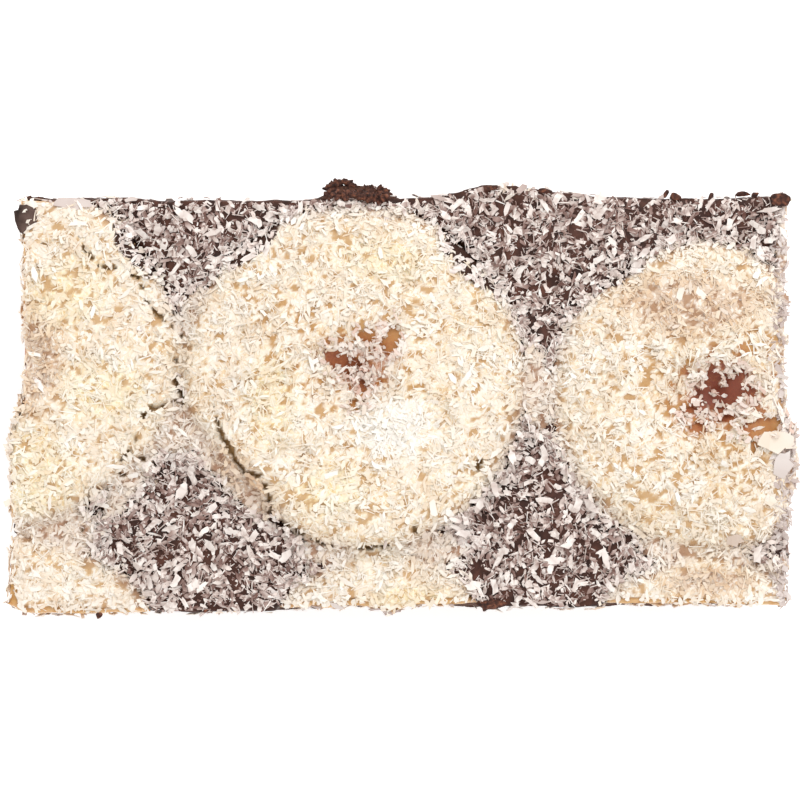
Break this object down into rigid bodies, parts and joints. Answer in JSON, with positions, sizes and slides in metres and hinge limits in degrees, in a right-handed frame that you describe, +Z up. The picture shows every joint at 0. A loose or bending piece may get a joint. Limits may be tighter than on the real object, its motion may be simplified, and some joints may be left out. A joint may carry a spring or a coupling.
{
  "type": "chocolate coconut cake slice with peach halves",
  "caption": "Rectangular slice of a chocolate tray cake: sponge, chocolate glaze and sunken peach halves under a thick cover of coconut flakes.",
  "frame": {"origin": "centre of the slice's bounding box at its flat underside", "axes": "+X along the slice to its right end, +Y to its back edge, +Z up through the coconut-covered top"},
  "size_m": [0.1462, 0.0816, 0.041],
  "materials": {
    "sponge": "open-pored dark chocolate sponge, dry and matt",
    "glaze": "set dark chocolate glaze, satin with soft waves",
    "peach": "soft moist golden fruit flesh, red-brown in the stone's hollow",
    "coconut": "dry cream-white coconut flakes and shreds"
  },
  "bodies": {
    "root": {"sponge_base": "sponge", "chocolate_glaze": "glaze", "peach_left": "peach", "peach_middle": "peach", "peach_right": "peach", "peach_front_left": "peach", "peach_front_middle": "peach", "peach_front_right": "peach"}
  },
  "joints": []
}
